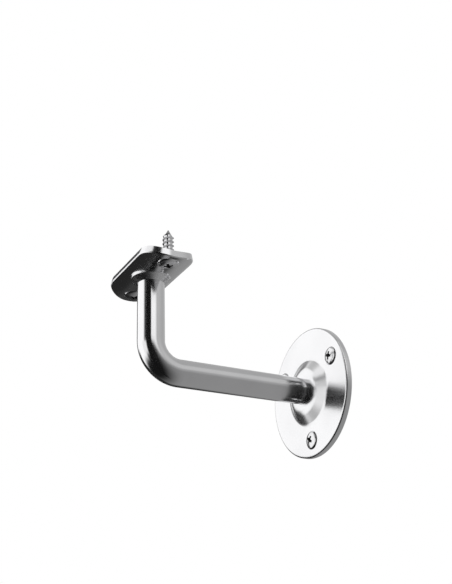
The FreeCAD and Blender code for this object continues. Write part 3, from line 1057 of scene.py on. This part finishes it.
    def build_lamp(self) -> None:
        """Hangs a broad soft lamp overhead, which the metal doesn't mirror."""
        lamp = bpy.data.lights.new("overhead_lamp", "AREA")
        lamp.shape, lamp.size, lamp.energy = "DISK", self.lamp_width, self.lamp_power
        obj = bpy.data.objects.new("overhead_lamp", lamp)
        obj.location = self.lamp_place
        obj.rotation_euler = (-Vector(self.lamp_place)).to_track_quat("-Z", "Y").to_euler()
        obj.visible_glossy = False
        bpy.context.scene.collection.objects.link(obj)

    def build(self) -> None:
        """Builds the whole studio."""
        self.build_world()
        self.build_floor()
        self.build_wall()
        self.build_lamp()
        bpy.context.scene.view_settings.view_transform = "Standard"


@dataclass(frozen=True)
class Viewpoint:
    """The camera, below and to the right of the bracket, looking up at it.

    Args:
        place: Where the lens is.
        azimuth: Degrees from -Y towards +X that the camera stands at.
        elevation: Degrees above the level that it stands at.
        roll: Degrees that it is turned about its own axis.
        lens: Focal length in millimetres.
    """

    place: tuple[float, float, float] = (0.3379, -0.2341, -0.1334)
    azimuth: float = 60.687
    elevation: float = -24.467
    roll: float = -2.087
    lens: float = 57.23

    def build(self) -> None:
        """Makes the camera and gives it to the scene."""
        camera = bpy.data.cameras.new("camera")
        camera.lens = self.lens
        camera.clip_start = 0.01
        obj = bpy.data.objects.new("camera", camera)
        bpy.context.scene.collection.objects.link(obj)
        turn = (Matrix.Rotation(math.radians(self.azimuth), 4, "Z")
                @ Matrix.Rotation(math.radians(90 - self.elevation), 4, "X")
                @ Matrix.Rotation(math.radians(self.roll), 4, "Z"))
        obj.matrix_world = Matrix.Translation(self.place) @ turn
        bpy.context.scene.camera = obj


# ---------------------------------------------------------------- the bracket

@dataclass
class WeldedBracket:
    """The rod, the two plates and their welds.

    Args:
        effects: The shared groups.
        finishes: The finish of each CAD piece that keeps its shape.
        turned: The finish of the wall plate.
    """

    effects: dict[str, bpy.types.NodeTree]
    finishes: dict[str, Plating] = field(default_factory=lambda: {
        "arm": Plating("rod_chrome", smooth=0.11, hazy=0.15, depth=0.015,
                       grain=Grain.ALONG_ROD, spread=0.8),
        "saddle_plate": Plating("pressed_chrome", smooth=0.15, hazy=0.26, depth=0.06),
        "saddle_weld": Plating("weld_chrome", smooth=0.24, hazy=0.34, marks=Marks.SCALED,
                               depth=0.15, ripple_centre=middle_of("saddle_weld").y),
        "plate_weld": Plating("bare_weld", colour=(0.46, 0.45, 0.43), smooth=0.32, hazy=0.5,
                              marks=Marks.SCALED, depth=0.7),
    })
    turned: Plating = Plating("turned_chrome", smooth=0.22, hazy=0.28, marks=Marks.TURNED,
                              depth=0.1, grain=Grain.OUTWARDS, spread=0.3)

    def build(self) -> None:
        """Gives each welded piece its finish, and puts the finer wall plate in its place."""
        for name, plating in self.finishes.items():
            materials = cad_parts[name].data.materials
            materials.clear()
            materials.append(plating.build(self.effects))
            log.info("%s: finished in %s", name, plating.name)
        plate = PressedRosette(self.turned.build(self.effects)).build()
        log.info("%s: %d faces", plate.name, len(plate.data.polygons))


@dataclass
class Fixings:
    """The three wall screws and the two screws that hold the handrail.

    Args:
        effects: The shared groups.
        plating: The finish of the screws.
        inside: The material inside their recesses: its dark colour is painted shade, its higher
            roughness a duller metal.
        sizes: The two kinds of screw.
    """

    effects: dict[str, bpy.types.NodeTree]
    plating: Plating = Plating("screw_plating", colour=(0.8, 0.8, 0.81), smooth=0.16, hazy=0.28,
                               depth=0.05, cloud_scale=300.0)
    # painted shade: the recess material's dark colour stands in for the shade that falls inside
    # the cross recesses
    inside: Plating = Plating("recess_painted_shade", colour=(0.2, 0.2, 0.2), smooth=0.4, hazy=0.55,
                              depth=0.2, cloud_scale=600.0)
    sizes: tuple[ScrewSize, ...] = (
        ScrewSize("wall_screw", thread_dia=4.5 * MM, recess=4.6 * MM, plain=4.4 * MM,
                  point=6.0 * MM, pitch=1.8 * MM, recess_turns=(20.0, 64.0, 38.0)),
        ScrewSize("rail_screw", thread_dia=5.0 * MM, recess=5.0 * MM, plain=3.4 * MM,
                  point=3.5 * MM, pitch=1.9 * MM, recess_turns=(12.0, 55.0)),
    )

    def build(self) -> None:
        """Builds all five screws."""
        steel, recess_shade = self.plating.build(self.effects), self.inside.build(self.effects)
        for size in self.sizes:
            for number, degrees in enumerate(size.recess_turns, start=1):
                piece = RaisedScrew(f"{size.kind}_{number}", size, degrees, steel, recess_shade).build()
                log.info("%s: %d faces", piece.name, len(piece.data.polygons))


def main() -> None:
    """Builds the looks sub-assembly by sub-assembly."""
    logging.basicConfig(level=logging.INFO, format="%(name)s: %(message)s")
    effects = SurfaceEffects().build()
    Studio().build()
    Viewpoint().build()
    WeldedBracket(effects).build()
    Fixings(effects).build()


if __name__ == "__main__":
    main()
